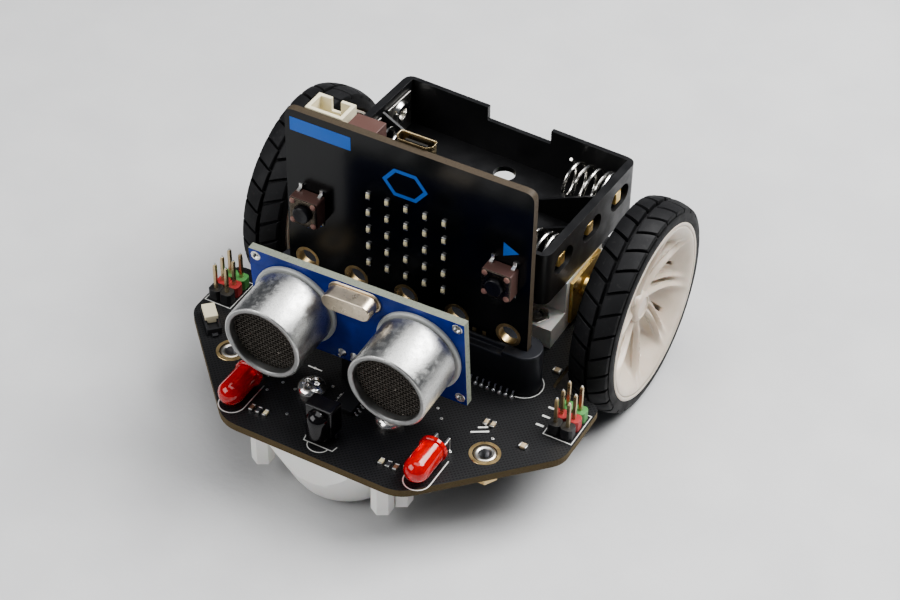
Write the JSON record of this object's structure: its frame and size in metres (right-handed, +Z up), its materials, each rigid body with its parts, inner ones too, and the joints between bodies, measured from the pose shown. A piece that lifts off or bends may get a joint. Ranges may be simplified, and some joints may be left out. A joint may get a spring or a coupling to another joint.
{
  "type": "two wheel robot car",
  "caption": "Small teaching robot on a bare circuit board with geared side wheels, a ball caster, a distance sensor, a plug-in controller card and an open cell holder",
  "frame": {"origin": "on the floor, under the middle of the car's bounding box", "axes": "-Y is the car's front, +X is the right hand side seen from the front, +Z is up"},
  "size_m": [0.081, 0.085, 0.0622],
  "materials": {
    "chassis_pcb": "black soldermask over glass fibre, tan cut edges",
    "gold_plate": "gold plated",
    "connector_black": "moulded",
    "solder": "tinned",
    "card_pcb": "glossy black soldermask, reddish tan cut edges",
    "card_lamps": "pale cream",
    "switch_brown": "brown cover plate",
    "plunger_black": "moulded",
    "socket_steel": "stamped and plated",
    "socket_cream": "moulded",
    "chip_black": "moulded",
    "sonar_pcb": "deep blue soldermask, pale cut edges",
    "can_aluminium": "satin, fine speckle",
    "base_ring_grey": "moulded",
    "mesh_dark": "woven wire cloth",
    "crystal_can": "drawn steel, warm",
    "pin_gold": "gold plated",
    "socket_black": "moulded",
    "lamp_red": "clear red resin",
    "receiver_black": "dark resin",
    "strip_green": "moulded",
    "strip_red": "moulded",
    "strip_black": "moulded",
    "nylon_white": "moulded nylon",
    "ball_steel": "polished",
    "motor_steel": "drawn and plated",
    "gearbox_brass": "stamped plates",
    "shaft_steel": "ground",
    "rim_white": "moulded, warm white",
    "tyre_black": "matt rubber",
    "screw_steel": "plated",
    "holder_black": "moulded, slight gloss",
    "contact_steel": "plated spring steel",
    "mode_switch_black": "moulded",
    "mode_switch_cream": "moulded",
    "passive_tan": "ceramic",
    "buzzer_black": "moulded"
  },
  "bodies": {
    "chassis": {"chassis_board": "chassis_pcb", "threaded_standoffs": "gold_plate", "edge_connector": "connector_black", "connector_tails": "solder", "controller_card": "card_pcb", "card_lamps": "card_lamps", "button_a_body": "switch_brown", "button_b_body": "switch_brown", "reset_body": "switch_brown", "usb_socket": "socket_steel", "card_battery_socket": "socket_cream", "card_chips": "chip_black", "sonar_board": "sonar_pcb", "sonar_can_left": "can_aluminium", "sonar_can_right": "can_aluminium", "sonar_base_rings": "base_ring_grey", "sonar_meshes": "mesh_dark", "sonar_crystal": "crystal_can", "sonar_chips": "chip_black", "sonar_header": "pin_gold", "sonar_socket": "socket_black", "lamp_left": "lamp_red", "lamp_right": "lamp_red", "component_leads": "solder", "infrared_receiver": "receiver_black", "signal_strips": "strip_green", "power_strips": "strip_red", "ground_strips": "strip_black", "header_pins": "pin_gold", "caster_housing": "nylon_white", "line_sensor_shells": "nylon_white", "motor_left": "motor_steel", "motor_right": "motor_steel", "gearbox_left": "gearbox_brass", "gearbox_right": "gearbox_brass", "bracket_left": "nylon_white", "bracket_right": "nylon_white", "screws": "screw_steel", "nuts": "screw_steel", "battery_holder": "holder_black", "battery_springs": "contact_steel", "contact_plates": "contact_steel", "power_switch_body": "socket_steel", "mode_switch_body": "mode_switch_black", "battery_lead_socket": "socket_cream", "board_chips": "chip_black", "board_passives": "passive_tan", "buzzer": "buzzer_black"},
    "wheel_left": {"output_shaft_left": "shaft_steel", "rim_left": "rim_white", "tyre_left": "tyre_black"},
    "wheel_right": {"output_shaft_right": "shaft_steel", "rim_right": "rim_white", "tyre_right": "tyre_black"},
    "caster_ball": {"caster_ball": "ball_steel"},
    "button_a": {"button_a_plunger": "plunger_black"},
    "button_b": {"button_b_plunger": "plunger_black"},
    "reset_button": {"reset_plunger": "plunger_black"},
    "power_switch": {"power_switch_knob": "plunger_black"},
    "mode_switch": {"mode_switch_knob": "mode_switch_cream"}
  },
  "joints": [
    {"name": "wheel_left_spin", "type": "hinge", "parent": "chassis", "child": "wheel_left", "pos_m": [-0.0361, 0.0183, 0.0215], "axis": [1, 0, 0], "continuous": true},
    {"name": "wheel_right_spin", "type": "hinge", "parent": "chassis", "child": "wheel_right", "pos_m": [0.0361, 0.0183, 0.0215], "axis": [1, 0, 0], "continuous": true},
    {"name": "caster_ball_roll", "type": "hinge", "parent": "chassis", "child": "caster_ball", "pos_m": [0, -0.0287, 0.006], "axis": [1, 0, 0], "continuous": true},
    {"name": "button_a_press", "type": "slide", "parent": "chassis", "child": "button_a", "axis": [0, 1, 0], "range_m": [0, 0.0003], "stiffness_N_per_m": 4000},
    {"name": "button_b_press", "type": "slide", "parent": "chassis", "child": "button_b", "axis": [0, 1, 0], "range_m": [0, 0.0003], "stiffness_N_per_m": 4000},
    {"name": "reset_press", "type": "slide", "parent": "chassis", "child": "reset_button", "axis": [0, -1, 0], "range_m": [0, 0.00025], "stiffness_N_per_m": 4000},
    {"name": "power_switch_slide", "type": "slide", "parent": "chassis", "child": "power_switch", "axis": [1, 0, 0], "range_m": [0, 0.002]},
    {"name": "mode_switch_slide", "type": "slide", "parent": "chassis", "child": "mode_switch", "axis": [0.7071, -0.7071, 0], "range_m": [0, 0.002]}
  ]
}
